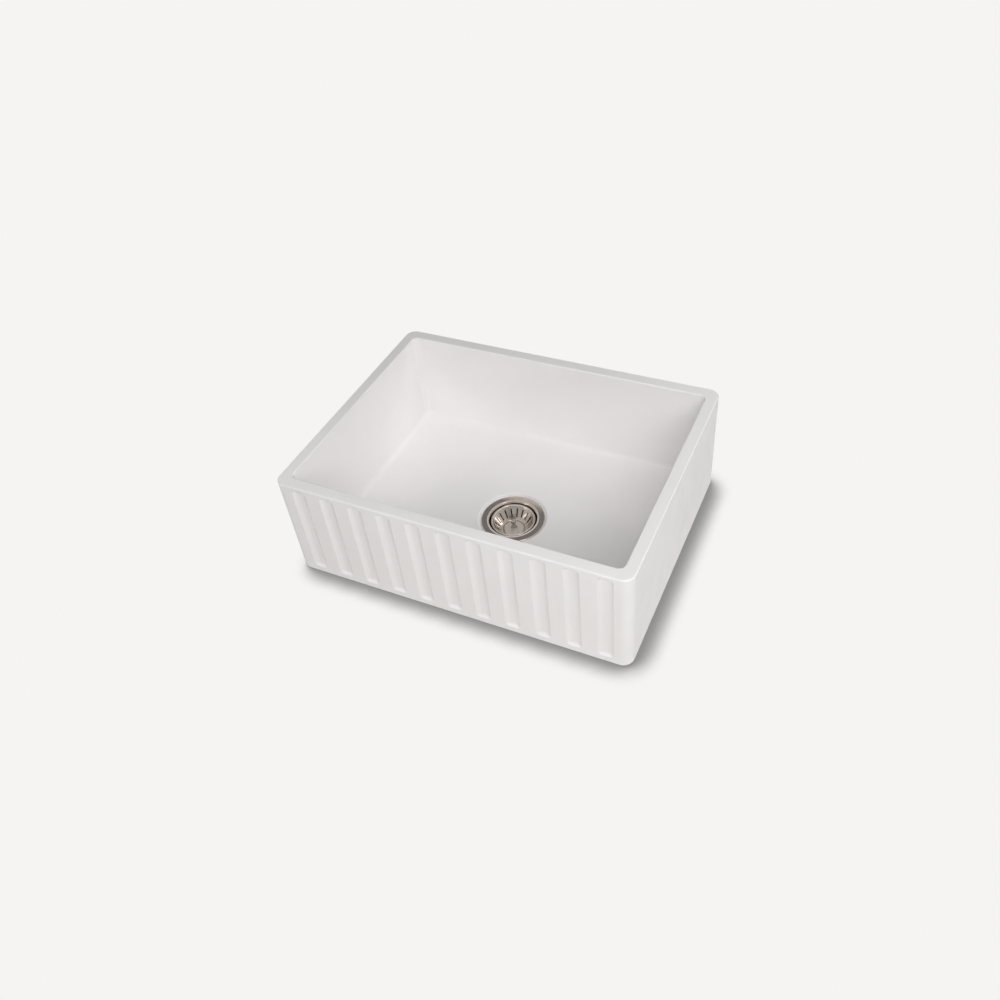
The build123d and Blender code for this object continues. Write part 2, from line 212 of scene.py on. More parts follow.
def seen_directly(finish):
    """1 for what the camera sees, by itself, in a mirror or through glass, and 0 for diffuse light."""
    return rays(finish, "Camera", "Glossy", "Transmission")


def backdrop():
    """The world: the floor's colour to the camera and in reflections, a dim even fill to the rest."""
    world = bpy.data.worlds.new("studio_backdrop")
    bpy.context.scene.world = world
    finish = Finish(world)
    pale = finish.node("Background", {}, {"Color": paper})
    fill = finish.node("Background", {}, {"Color": fill_colour, "Strength": fill_strength})
    both = finish.node("MixShader", {}, {0: seen_directly(finish), 1: fill, 2: pale})
    return finish.node("OutputWorld", {}, {"Surface": both})


backdrop()
print("backdrop:", bpy.context.scene.world.name)

# %% [markdown]
# ## The studio: floor
#
# The floor is a large sheet with an opening where the sink stands, so that a look from below still
# shows the underside, and it can't be seen from behind at all. To the camera it has its own flat
# colour, darkened near the sink by ambient occlusion, whose normal leans so that the faint soft shadow
# falls to the right. Reflections see it a fifth darker and without the shadow, which would dirty the
# glaze. To diffuse light it is plain paper, which throws light back up on the clay. The opening stays
# clear of the rounded corners of the foot, so the sheet lies a hair below it.

# %% Floor
sink_low, sink_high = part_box("sink_body")
floor_side = 12.0
floor_drop = 0.05 * MM
foot_margin = 9 * MM
shadow_lean = Vector((-0.45, 0.3, 1)).normalized()
shadow_reach = 50 * MM


def floor_paper():
    """Flat paper with a soft shadow to the camera, plain paper to diffuse light, nothing from behind."""
    finish = new_finish("studio_floor")
    leaning = finish.node("Normal", {}, {}, output="Normal")
    leaning.socket.default_value = shadow_lean
    occlusion = finish.node(
        "AmbientOcclusion", {"samples": 16}, {"Distance": shadow_reach, "Normal": leaning}, output="AO")
    glossy = rays(finish, "Glossy")
    shadow = finish.between(occlusion + glossy, 0.39, 0.92, 0.3, 1.0) * (1 - glossy * 0.2)
    shaded = finish.mix(shadow, (0, 0, 0, 1), paper)
    glow = finish.node("Emission", {}, {"Color": shaded})
    matte = finish.node("BsdfDiffuse", {}, {"Color": colour(225, 223, 220)})
    front = finish.node("MixShader", {}, {0: seen_directly(finish), 1: matte, 2: glow})
    clear = finish.node("BsdfTransparent", {}, {})
    behind = finish.node("NewGeometry", {}, {}, output="Backfacing")
    both = finish.node("MixShader", {}, {0: behind, 1: front, 2: clear})
    return finish.node("OutputMaterial", {}, {"Surface": both})


bpy.ops.object.select_all(action="DESELECT")
bpy.ops.mesh.primitive_plane_add(size=floor_side, location=(0, 0, -floor_drop))
floor = bpy.context.object
floor.name = "studio_floor"
bpy.ops.object.mode_set(mode="EDIT")
opening = sink_high - sink_low - Vector((2, 2, 0)) * foot_margin
bpy.ops.mesh.inset(thickness=(floor_side - opening.x) / 2)
bpy.ops.transform.resize(value=(1, opening.y / opening.x, 1))
bpy.ops.mesh.delete(type="FACE")
bpy.ops.object.mode_set(mode="OBJECT")
floor.data.materials.append(floor_paper())
print("floor opening, mm:", [round(side / MM, 1) for side in opening.to_2d()])

# %% [markdown]
# ## The studio: lamps
#
# Six soft boxes stand round the sink, each as far off as the others. A lamp is placed by its bearing,
# counted from the front towards the right, and by its height above the horizon. The key is a pair at
# the front right, one box above the other, and leaves the near corner of the bowl in shade. The second
# largest share comes from the right, a little behind, so the apron and the end of the sink are about
# equally bright and the corner between them hardly shows. The low box at the left lifts the shaded
# sides of the flutes.

# %% Lamps
lamp_distance = 2.2
lamp_side = 1.2
lamps = {
    # bearing and height in degrees, power in watts
    "key": (35, 35, 17.7),
    "key_high": (35, 60, 9.9),
    "right": (100, 36, 11.3),
    "left_low": (-75, 20, 6.5),
    "front": (-12, 40, 5.6),
    "back_right": (140, 45, 2.4),
}


def from_bearing(bearing, elevation, distance):
    """A point this far from the middle of the sink."""
    level = cos(radians(elevation)) * distance
    across = Vector((sin(radians(bearing)) * level, -cos(radians(bearing)) * level, 0))
    return across + Vector((0, 0, sin(radians(elevation)) * distance + height / 2))


def facing(place):
    """The turn that points a lamp or a card at the middle of the sink."""
    return (Vector((0, 0, height / 2)) - place).to_track_quat("-Z", "Y").to_euler()


width, depth, height = sink_high - sink_low
for name, (bearing, elevation, watts) in lamps.items():
    place = from_bearing(bearing, elevation, lamp_distance)
    bpy.ops.object.light_add(type="AREA", location=place, rotation=facing(place))
    lamp = bpy.context.object
    lamp.name = "lamp_" + name
    lamp.data.size = lamp_side
    lamp.data.energy = watts
    lamp.visible_glossy = False
bpy.context.scene.view_settings.view_transform = "Standard"
print("lamps:", len(lamps), "with", round(sum(watts for _, _, watts in lamps.values()), 1), "W in all")

# %% [markdown]
# ## The studio: what the steel mirrors
#
# The soft boxes don't show in reflections, or they would lie as pale patches on the glaze. Two cards
# do, and only there. A dark one hangs behind, because the steel flange and the far rims would
# otherwise mirror the pale backdrop and look washed out. A small bright one at the right stands for a
# window. No flat side of the sink mirrors it to the camera, but the curved steel catches it in glints.


# %% Cards
def hang_card(name, bearing, elevation, side, tone, strength):
    """Hang a square glowing card that only reflections can see."""
    place = from_bearing(bearing, elevation, card_distance)
    bpy.ops.mesh.primitive_plane_add(size=side, location=place, rotation=facing(place))
    card = bpy.context.object
    card.name = "studio_card_" + name
    for kind in ("camera", "diffuse", "shadow", "transmission"):
        setattr(card, "visible_" + kind, False)
    finish = new_finish(card.name)
    glow = finish.node("Emission", {}, {"Color": colour(*tone), "Strength": strength})
    finish.node("OutputMaterial", {}, {"Surface": glow})
    card.data.materials.append(finish.owner)
    print(f"{card.name}: {side} m wide, {card_distance} m off")


card_distance = 1.7
hang_card("dark", -151, 45, 1.1, (126, 130, 135), 1.0)
hang_card("window", 60, 50, 0.45, (255, 253, 250), 5.0)

# %% [markdown]
# ## Small helpers for modelling
#
# Modelling by script is the same work as modelling by hand: add a primitive, go into edit mode, pick
# some faces or edges and use a tool on them. A hand picks by clicking. A script picks by asking each
# face or edge where it is, which is what `grab` does.


# %% Picking
def fresh():
    """Leave edit mode and deselect everything, so that a tool acts only on what comes next."""
    if bpy.context.mode != "OBJECT":
        bpy.ops.object.mode_set(mode="OBJECT")
    bpy.ops.object.select_all(action="DESELECT")


def choose(piece):
    """Select this piece alone, in object mode."""
    fresh()
    piece.select_set(True)
    bpy.context.view_layer.objects.active = piece


def edit(piece):
    """Go into edit mode on this piece alone."""
    choose(piece)
    bpy.ops.object.mode_set(mode="EDIT")


def grab(piece, kind, test):
    """In edit mode, pick the VERTs, EDGEs or FACEs that pass the test, and count them."""
    bpy.ops.mesh.select_mode(type=kind)
    bpy.ops.mesh.select_all(action="DESELECT")
    mesh = bmesh.from_edit_mesh(piece.data)
    found = 0
    for item in {"VERT": mesh.verts, "EDGE": mesh.edges, "FACE": mesh.faces}[kind]:
        if test(item):
            item.select_set(True)
            found += 1
    mesh.select_flush_mode()
    bmesh.update_edit_mesh(piece.data)
    return found


def ends(edge):
    """The two end points of an edge."""
    return [corner.co for corner in edge.verts]


def near(value, target, slack=0.02 * MM):
    """True where a measure is the target, give or take a fiftieth of a millimetre."""
    return abs(value - target) < slack


# %% [markdown]
# A modifier is applied as soon as it is added, so the next tool works on the real mesh. `finish_piece`
# ends the work on a piece: it smooths the shading, lets the piece ride on its body and puts it in the
# place of its node.


# %% Modifiers and finishing
def add_modifier(piece, kind, **settings):
    """Add a modifier with these settings and apply it at once."""
    choose(piece)
    made = piece.modifiers.new(kind.lower(), kind)
    for name, value in settings.items():
        setattr(made, name, value)
    bpy.ops.object.modifier_apply(modifier=made.name)


shown = {}


def finish_piece(piece, name, slot, smooth=35):
    """Name the piece, smooth its shading, and let it stand for the node of its name."""
    choose(piece)
    piece.name = name + "_shown"
    bpy.ops.object.transform_apply()
    bpy.ops.object.shade_smooth_by_angle(angle=radians(smooth))
    add_modifier(piece, "WEIGHTED_NORMAL", keep_sharp=True, weight=100)
    body = next(b for b, nodes in frame["record"]["behaviour"]["bodies"].items() if name in nodes)
    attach(piece, body)
    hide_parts(name)
    shown[name] = (piece, slot)
    print(f"{name}: {len(piece.data.polygons)} faces, on {body}")


# %% [markdown]
# ## The fireclay body: block and flutes
#
# The body is cast in a plaster mould in one piece, so it starts as one block with its upright corners
# rounded.

# %% Block
outer_radius = 18.5 * MM


def upright(edge):
    """True for an edge of the block that runs all the way up."""
    first, second = ends(edge)
    return near(abs(first.z - second.z), height)


bpy.ops.mesh.primitive_cube_add(size=1, location=(0, 0, height / 2), scale=(width, depth, height))
sink = bpy.context.object
bpy.ops.object.transform_apply()
edit(sink)
print("outer corners:", grab(sink, "EDGE", upright))
bpy.ops.mesh.bevel(offset=outer_radius, segments=10, affect="EDGES")

# %% [markdown]
# The flutes come next, while the front is still a single face. Cutting planes split that face: first
# right across, at the upper and lower ends of the flutes, then down the sides of the eleven flutes.
# The bands above and below stay whole, which keeps stray corners off the rim that is rounded later.

# %% Front face, split for the flutes
flute_count = 11
flute_pitch = 51.5 * MM
middle_flute = 3.3 * MM
flute_places = [middle_flute + (number - flute_count // 2) * flute_pitch for number in range(flute_count)]
flute_half = 14 * MM
flute_low = 12.5 * MM
flute_high = height - 6 * MM
print("flutes at", [round(place / MM, 1) for place in flute_places], "mm")


def cut(point, normal):
    """Split the picked faces along a plane."""
    bpy.ops.mesh.bisect(plane_co=point, plane_no=normal)


def on_front(face):
    """True for a face that lies in the flat front."""
    return face.normal.y < -0.99 and near(face.calc_center_median().y, -depth / 2)


def in_band(face):
    """True for a front face between the lower and upper ends of the flutes."""
    return on_front(face) and flute_low < face.calc_center_median().z < flute_high


def in_opening(face):
    """True for a front face that fills the opening of a flute."""
    middle = face.calc_center_median()
    return in_band(face) and any(near(middle.x, place, 2 * MM) for place in flute_places)


for level in (flute_low, flute_high):
    grab(sink, "FACE", on_front)
    cut((0, 0, level), (0, 0, 1))
for place in flute_places:
    for side in (-flute_half, flute_half):
        grab(sink, "FACE", in_band)
        cut((place + side, 0, 0), (1, 0, 0))
print("flute openings:", grab(sink, "FACE", in_opening))

# %% [markdown]
# The openings have round corners. Bevelling a corner of a flat face would also cut into the faces round
# it. So the openings are pushed in, which gives every corner a short edge of its own. Those edges are
# rounded, and then the openings are pulled out again.

# %% Round corners on the openings
flute_depth = 4.5 * MM
flute_corner = 9 * MM


def short_way_in(edge):
    """True for one of the short edges that lead into an opening at its corners."""
    first, second = ends(edge)
    return near(abs(first.y - second.y), flute_depth) and max(first.y, second.y) < 0


bpy.ops.mesh.extrude_region_move(TRANSFORM_OT_translate={"value": (0, flute_depth, 0)})
print("corners:", grab(sink, "EDGE", short_way_in))
bpy.ops.mesh.bevel(offset=flute_corner, segments=7, affect="EDGES")
grab(sink, "FACE", lambda face: near(face.calc_center_median().y, flute_depth - depth / 2))
bpy.ops.transform.translate(value=(0, -flute_depth, 0))
bpy.ops.mesh.select_all(action="SELECT")
bpy.ops.mesh.remove_doubles(threshold=0.01 * MM)
print("flute openings with round corners:", grab(sink, "FACE", in_opening))

# %% [markdown]
# The section of a flute is an S: an arc that rolls over the lip, and a wider one that turns into the
# floor. Two arcs that touch share one angle there, and that angle follows from the depth, because both
# arcs together have to come down by it. The openings are extruded inward ring by ring, and each ring
# is drawn a step further in along the S. Its round corners shrink with it until they are as tight as
# the plaster mould allows. At both ends the flutes run out in two thirds of the distance, which is why
# the light there is a thin line and not a wide glow.

# %% Flute section, ring by ring
lip_radius = 4 * MM
root_radius = 15 * MM
flute_length = flute_high - flute_low
swing = acos(1 - flute_depth / (lip_radius + root_radius))
flank = (lip_radius + root_radius) * sin(swing)
tightest = 1.2 * MM
end_share = 0.65
lip_steps = 5
root_steps = 8

rings = []
for step in range(1, lip_steps + 1):
    turn = swing * step / lip_steps
    rings.append((lip_radius * sin(turn), lip_radius * (1 - cos(turn))))
for step in range(1, root_steps + 1):
    turn = swing * (1 - step / root_steps)
    rings.append((flank - root_radius * sin(turn), flute_depth - root_radius * (1 - cos(turn))))


def draw_in(inward, next_inward):
    """Draw the picked openings from one rounded outline in to the next."""
    radius = max(flute_corner - inward, tightest)
    next_radius = max(flute_corner - next_inward, tightest)
    mesh = bmesh.from_edit_mesh(sink.data)
    for point in [corner.co for corner in mesh.verts if corner.select]:
        place = min(flute_places, key=lambda place: abs(point.x - place))
        for axis, middle, half, pace in (
                (0, place, flute_half, 1), (2, (flute_low + flute_high) / 2, flute_length / 2, end_share)):
            side = 1 if point[axis] > middle else -1
            share = (abs(point[axis] - middle) - (half - inward * pace - radius)) / radius
            round_start = half - next_inward * pace - next_radius
            point[axis] = middle + side * (round_start + share * next_radius)
    bmesh.update_edit_mesh(sink.data)


inward, deep = 0, 0
for next_inward, next_deep in rings:
    bpy.ops.mesh.extrude_region_move(TRANSFORM_OT_translate={"value": (0, next_deep - deep, 0)})
    draw_in(inward, next_inward)
    inward, deep = next_inward, next_deep
print("flute flank and depth, mm:", round(inward / MM, 2), round(deep / MM, 2))

# %% [markdown]
# ## The fireclay body: bowl, rim and foot
#
# The bowl is one inset of the top face, pushed down. The inset alone makes the corners tighter, from
# 18.5 to 11 mm, and `towards_middle` then moves the outline in to where the walls stand. The same tool
# makes the bowl a little smaller at the bottom, because a casting has to leave its mould.

# %% Bowl
end_wall = 20 * MM
long_wall = 21 * MM
bowl_half = Vector((width / 2 - end_wall, depth / 2 - long_wall))
bowl_radius = 11 * MM
bowl_depth = 178 * MM
draft_angle = radians(0.5)
draft = bowl_depth * tan(draft_angle)
floor_level = height - bowl_depth


def towards_middle(piece, along, across):
    """Move every picked point towards the middle of the sink by these two distances."""
    mesh = bmesh.from_edit_mesh(piece.data)
    for corner in mesh.verts:
        if corner.select:
            corner.co.x -= along if corner.co.x > 0 else -along
            corner.co.y -= across if corner.co.y > 0 else -across
    bmesh.update_edit_mesh(piece.data)


narrower = outer_radius - bowl_radius
grab(sink, "FACE", lambda face: face.normal.z > 0.99 and near(face.calc_center_median().z, height))
bpy.ops.mesh.inset(thickness=narrower)
towards_middle(sink, width / 2 - narrower - bowl_half.x, depth / 2 - narrower - bowl_half.y)
bpy.ops.mesh.extrude_region_move(TRANSFORM_OT_translate={"value": (0, 0, -bowl_depth)})
towards_middle(sink, draft, draft)

# %% [markdown]
# A casting has no sharp edges, and glaze would run thin on them. The loops that run round the rim, the
# foot and the floor are rounded last. One rule finds them all: each of their edges has a flat level
# face on one side only. The rim gets the smallest rounding, so its highlight stays a thin line.


# %% Rounded rim, foot and floor edge
def turns_down(edge, level):
    """True for an edge at this level between one flat face and one that isn't."""
    flat = sum(abs(face.normal.z) > 0.99 for face in edge.link_faces)
    return flat == 1 and all(near(end.z, level) for end in ends(edge))


rim_radius = 2.5 * MM
foot_radius = 4 * MM
floor_radius = 9 * MM
print("rim edges:", grab(sink, "EDGE", lambda edge: turns_down(edge, height)))
bpy.ops.mesh.bevel(offset=rim_radius, segments=5, affect="EDGES")
print("foot edges:", grab(sink, "EDGE", lambda edge: turns_down(edge, 0)))
bpy.ops.mesh.bevel(offset=foot_radius, segments=6, affect="EDGES")
print("floor edges:", grab(sink, "EDGE", lambda edge: turns_down(edge, floor_level) and all(
    abs(end.y) < bowl_half.y for end in ends(edge))))
bpy.ops.mesh.bevel(offset=floor_radius, segments=7, affect="EDGES")

# %% [markdown]
# ## The fireclay body: floor and outlet
#
# Water has to find its way out, so the floor runs down to the waste. The flat floor face is taken out,
# the long sides of the hole are divided, and the hole is bridged to a level circle a few millimetres
# lower. A level floor would look almost the same, but water would stand on it.

# %% Floor that runs to the waste
turn_joint = next(joint for joint in frame["joints"] if joint["name"] == "basket_turn")
waste = Vector(turn_joint["pos_m"]).to_2d()
floor_fall = 3.5 * MM
lip_level = floor_level - floor_fall
land_radius = 66 * MM
ring_steps = 96
long_edge = 100 * MM


def runs_along(edge, axis):
    """True for a long side of the hole in the floor that runs along this axis."""
    first, second = ends(edge)
    return edge.is_boundary and abs(first[axis] - second[axis]) > long_edge


grab(sink, "FACE", lambda face: near(face.calc_center_median().z, floor_level) and face.normal.z > 0.99)
bpy.ops.mesh.delete(type="FACE")
for axis, cuts in ((0, 18), (1, 8)):
    grab(sink, "EDGE", lambda edge: runs_along(edge, axis))
    bpy.ops.mesh.subdivide(number_cuts=cuts)
bpy.ops.mesh.select_all(action="DESELECT")
bpy.ops.mesh.primitive_circle_add(vertices=ring_steps, radius=land_radius, location=(*waste, lip_level))
print("loops to bridge:", grab(sink, "EDGE", lambda edge: edge.is_boundary or edge.is_wire))
bpy.ops.mesh.bridge_edge_loops(number_cuts=5, interpolation="LINEAR")

# %% [markdown]
# The outlet is drawn ring by ring from that circle: a rebate for the steel flange, the hole through
# the clay, and a shallow round recess underneath for the washer and nut. Each ring is one extrusion and
# one scaling about the axis of the waste. A boolean would do it too, but rings keep the mesh in
# clean bands that round well. The underside is filled again at the end, up to the last ring.


# %% Outlet, ring by ring
def ring_on(level, radius, to_level, to_radius):
    """Extrude the picked ring round the waste to another level and radius."""
    bpy.ops.mesh.extrude_region_move(TRANSFORM_OT_translate={"value": (0, 0, to_level - level)})
    share = to_radius / radius
    bpy.ops.transform.resize(value=(share, share, 1), center_override=(*waste, to_level))


def from_waste(point):
    """How far a point lies from the axis of the waste."""
    return (point.to_2d() - waste).length


seat_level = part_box("flange_seal")[0].z
recess_level = 1.5 * MM
rebate_radius = 60 * MM
hole_radius = 45 * MM
recess_radius = 62 * MM
rebate_corner = (lip_level, rebate_radius)
hole_corner = (seat_level, hole_radius)
outlet_rings = [
    (lip_level, land_radius), rebate_corner, (seat_level, rebate_radius), hole_corner,
    (recess_level, hole_radius), (recess_level, recess_radius), (0, recess_radius)]
grab(sink, "EDGE", lambda edge: edge.is_boundary)
for (level, radius), (to_level, to_radius) in zip(outlet_rings, outlet_rings[1:]):
    ring_on(level, radius, to_level, to_radius)
for (level, radius), rounding in ((rebate_corner, 3 * MM), (hole_corner, 0.8 * MM)):
    grab(sink, "EDGE", lambda edge: all(
        near(end.z, level) and near(from_waste(end), radius) for end in ends(edge)))
    bpy.ops.mesh.bevel(offset=rounding, segments=5, affect="EDGES")

grab(sink, "FACE", lambda face: face.normal.z < -0.99 and near(face.calc_center_median().z, 0))
bpy.ops.mesh.delete(type="ONLY_FACE")
grab(sink, "EDGE", lambda edge: edge.is_boundary)
bpy.ops.mesh.fill()
finish_piece(sink, "sink_body", "glaze", smooth=50)

# %% [markdown]
# ## Turned and pressed pieces
#
# Nearly every piece of the waste is round: turned on a lathe, pressed from a disc or moulded round an
# axis. So each starts as a section, the line that a cut through the axis would show. A plane is merged
# to one point, the point is extruded from corner to corner, and the corners that need it are rounded.

# %% Section
same_place = 0.001 * MM


def at(*points):
    """A test that is true for a corner of the mesh at one of these points."""
    return lambda vert: any((vert.co - point).length < same_place for point in points)


def draw_section(corners, closed):
    """Draw a section of (radius, level, rounding) corners, in millimetres, and stay in edit mode."""
    fresh()
    bpy.ops.mesh.primitive_plane_add(size=MM)
    piece = bpy.context.object
    bpy.ops.object.mode_set(mode="EDIT")
    bpy.ops.mesh.select_mode(type="VERT")
    bpy.ops.mesh.merge(type="CENTER")
    points = [Vector((waste.x + radius * MM, waste.y, level * MM)) for radius, level, _ in corners]
    bpy.ops.transform.translate(value=points[0])
    for here, there in zip(points, points[1:]):
        bpy.ops.mesh.extrude_vertices_move(TRANSFORM_OT_translate={"value": there - here})
    if closed:
        grab(piece, "VERT", at(points[0], points[-1]))
        bpy.ops.mesh.edge_face_add()
    for number, point in enumerate(points):
        rounding = corners[number][2] * MM
        if rounding:
            onward = points[(number + 1) % len(points)] - point
            bend = (point - points[number - 1]).angle(onward)
            grab(piece, "VERT", at(point))
            bpy.ops.mesh.bevel(
                offset=rounding * tan(bend / 2), segments=1 + round(degrees(bend) / 16), affect="VERTICES")
    return piece


# %% [markdown]
# The lathe spins a section round the axis of the waste. A closed section gives a solid. An open one
# gives a skin, which Solidify then makes as thick as the sheet it is pressed from.


# %% Lathe
def spin_section(steps):
    """Spin the section round the axis of the waste, and close its seam and poles."""
    bpy.ops.mesh.select_all(action="SELECT")
    bpy.ops.mesh.spin(steps=steps, angle=2 * pi, center=(*waste, 0), axis=(0, 0, 1))
    bpy.ops.mesh.select_all(action="SELECT")
    bpy.ops.mesh.remove_doubles(threshold=2 * same_place)
    bpy.ops.mesh.delete_loose(use_edges=True)
    bpy.ops.mesh.select_all(action="SELECT")
    bpy.ops.mesh.normals_make_consistent(inside=False)


def turned(corners, steps=96):
    """A solid turned from a closed section."""
    piece = draw_section(corners, closed=True)
    spin_section(steps)
    fresh()
    return piece


def pressed(corners, sheet, steps):
    """A piece pressed from sheet, drawn along the middle of its thickness."""
    piece = draw_section(corners, closed=False)
    spin_section(steps)
    add_modifier(piece, "SOLIDIFY", thickness=sheet * MM, offset=0, use_even_offset=True)
    return piece


# %% [markdown]
# ## The waste: strainer body and outlet
#
# The strainer body is one pressing of stainless sheet: a flange whose edge turns down to the clay, a
# raised bead, and a straight neck with a rolled thread that ends in a round-cornered bottom. It is drawn
# along the middle of the sheet, so that Solidify gives it the same thickness on both sides.

# %% Strainer body
strainer = pressed([
    (56.5, 10.6, 0), (56.5, 12.0, 1.0), (46.1, 12.0, 1.2), (43.9, 13.1, 1.2), (42.3, 9.5, 2.0),
    (42.3, -0.4, 0.6), (41.75, -1.2, 0.6), (41.75, -18.0, 0.6), (42.3, -18.8, 0.6),
    (42.3, -24.0, 6.0), (20.6, -24.0, 0)], sheet=1.0, steps=128)
print("faces of the pressing:", len(strainer.data.polygons))

# %% [markdown]
# The thread on the neck is for the locknut. It is wound as a helical rib: a small triangle beside the
# axis, taken round it by the Screw modifier. The CAD model leaves threads to the looks, so a rib stays
# inside the smooth cylinder that it has there.


# %% Thread on the strainer body
def moved(piece, shift):
    """Move the mesh of a piece, and leave its origin where it is."""
    choose(piece)
    piece.location = shift
    bpy.ops.object.transform_apply()


def thread(piece, root, crest, low, high, pitch, steps=96):
    """Wind a rib of triangular section round this piece, from one level up to the other."""
    half = pitch * 0.4
    turns = int((high - low - 2 * half) / pitch)
    rib = draw_section([(root, low, 0), (crest, low + half, 0.25), (root, low + 2 * half, 0)], closed=True)
    moved(rib, (-waste.x, -waste.y, 0))
    add_modifier(
        rib, "SCREW", axis="Z", steps=steps, render_steps=steps, iterations=turns,
        screw_offset=pitch * MM, use_normal_calculate=True)
    moved(rib, (waste.x, waste.y, 0))
    edit(rib)
    bpy.ops.mesh.select_all(action="SELECT")
    bpy.ops.mesh.fill_holes(sides=0)
    bpy.ops.mesh.select_all(action="SELECT")
    bpy.ops.mesh.normals_make_consistent(inside=False)
    choose(piece)
    rib.select_set(True)
    bpy.ops.object.join()


thread(strainer, 42.1, 42.78, -17.6, -1.2, 3.0, steps=128)
finish_piece(strainer, "strainer_body", "strainer_steel")

# %% [markdown]
# A plain foam ring seals the flange against the clay. The brass outlet is riveted under the strainer
# body, and its pipe thread of eleven turns to the inch is for the trap.

# %% Seal and threaded outlet
seal = turned([(45.8, 10.3, 0.3), (55.0, 10.3, 0.3), (55.0, 11.5, 0.3), (45.8, 11.5, 0.3)])
finish_piece(seal, "flange_seal", "seal_rubber")
nipple = turned([
    (20.6, -24.5, 0), (27.0, -24.5, 0), (27.0, -26.0, 0.3), (22.9, -26.0, 0.5), (22.9, -46.5, 0.6),
    (19.0, -46.5, 0.4), (19.0, -31.5, 0.2), (20.6, -31.5, 0)])
thread(nipple, 22.8, 23.88, -45.8, -27.6, 2.309)
finish_piece(nipple, "outlet_nipple", "nipple_brass", smooth=40)

# %% [markdown]
# The bridge in the outlet is a small casting: a ring, a hub and four arms between them. Its arms are
# two crossed bars with rounded edges. Both bars run right through the hub, so its hole is cut last.
# Solids are joined by a boolean, which leaves no walls inside.


# %% Bridge
def combine(piece, operation, other):
    """Unite, cut or intersect this solid with another one, which is used up."""
    add_modifier(piece, "BOOLEAN", operation=operation, solver="EXACT", object=other)
    bpy.data.objects.remove(other, do_unlink=True)


def soften(piece, rounding):
    """Round the sharp edges of a moulded piece."""
    add_modifier(
        piece, "BEVEL", width=rounding * MM, segments=2, limit_method="ANGLE",
        angle_limit=radians(40), use_clamp_overlap=True)


def bar(length, thick, low, high, turn, round_edge=0.4):
    """A bar across the axis of the waste, with rounded edges."""
    fresh()
    bpy.ops.mesh.primitive_cube_add(
        size=1, location=(*waste, (low + high) / 2 * MM), rotation=(0, 0, turn),
        scale=(length * MM, thick * MM, (high - low) * MM))
    made = bpy.context.object
    bpy.ops.object.transform_apply()
    soften(made, round_edge)
    return made


bridge = turned([(18.5, -31.5, 0.4), (20.5, -31.5, 0.4), (20.5, -25.5, 0.4), (18.5, -25.5, 0.4)])
hub = turned([(0, -33.5, 0), (6.52, -33.5, 0.5), (6.52, -23.7, 0.5), (0, -23.7, 0)], steps=64)
combine(bridge, "UNION", hub)
for turn in (0, pi / 2):
    combine(bridge, "UNION", bar(38.2, 2.6, -31.5, -25.5, turn))
bore = turned([(0, -34.5, 0), (3.52, -34.5, 0), (3.52, -22.7, 0), (0, -22.7, 0)], steps=64)
combine(bridge, "DIFFERENCE", bore)
finish_piece(bridge, "post_bridge", "nipple_brass", smooth=40)

# %% [markdown]
# ## The waste: clamp under the sink
#
# A thick rubber washer, a thin fibre ring and a lugged plastic nut hold the strainer body down from
# below. The nut's lugs are for a spanner or for two hands. They are drawn out of the nut's round wall
# four faces at a time, which keeps their sides parallel.

# %% Washers and nut
under = turned([(43.0, -2.0, 0.3), (54.0, -2.0, 0.8), (54.0, 1.5, 0.8), (43.0, 1.5, 0.3)])
finish_piece(under, "under_washer", "seal_rubber")
friction = turned([(43.0, -2.8, 0), (54.0, -2.8, 0.15), (54.0, -2.0, 0.15), (43.0, -2.0, 0)])
finish_piece(friction, "friction_washer", "fibre")

nut = turned([(43.0, -13.8, 0.5), (49.5, -13.8, 0), (49.5, -2.8, 0), (43.0, -2.8, 0.5)])
edit(nut)
lug_step = 60  # degrees
lug_half = 7.5  # degrees, two of the ninety-six faces of the wall
lug_reach = 5.5 * MM
wall_inside = 49.2 * MM
for number in range(360 // lug_step):
    turn = radians(lug_step * number)
    outward = Vector((cos(turn), sin(turn)))

    def in_lug(face):
        """True for one of the four faces of the round wall under this lug."""
        spoke = face.calc_center_median().to_2d() - waste
        return spoke.length > wall_inside and spoke.dot(outward) > spoke.length * cos(radians(lug_half))

    found = grab(nut, "FACE", in_lug)
    bpy.ops.mesh.extrude_region_move(TRANSFORM_OT_translate={"value": (*(outward * lug_reach), 0)})
print("faces under the last lug:", found)
soften(nut, 0.7)
finish_piece(nut, "locknut", "nut_plastic")

# %% [markdown]
# ## The waste: basket
#
# The basket is pressed from thinner sheet: a turned-down rim, a shoulder, a sloping wall with eighteen
# slots and a floor with a pressed ring. It is spun from its section like the strainer body, but stays a
# skin for now.

# %% Basket skin
basket = draw_section([
    (39.1, 7.4, 0), (39.1, 9.6, 0.8), (36.5, 9.3, 1.4), (35.6, 7.3, 4.0), (23.4, -10.1, 4.0),
    (21.6, -13.1, 1.2), (17.9, -13.1, 0.6), (17.2, -11.9, 0.6), (2.55, -11.9, 0)], closed=False)
spin_section(144)
print("faces of the skin:", len(bmesh.from_edit_mesh(basket.data).faces))

# %% [markdown]
# The slots are cut while the basket is a skin. Cutting planes just beside each spoke split the wall,
# the strips between them are deleted, and Solidify then gives the slots real side walls. Eighteen
# booleans would leave the same slots in a far worse mesh.


# %% Slots
def on_wall(face):
    """True for a face of the sloping wall."""
    return 22 * MM < from_waste(face.calc_center_median()) < 37 * MM


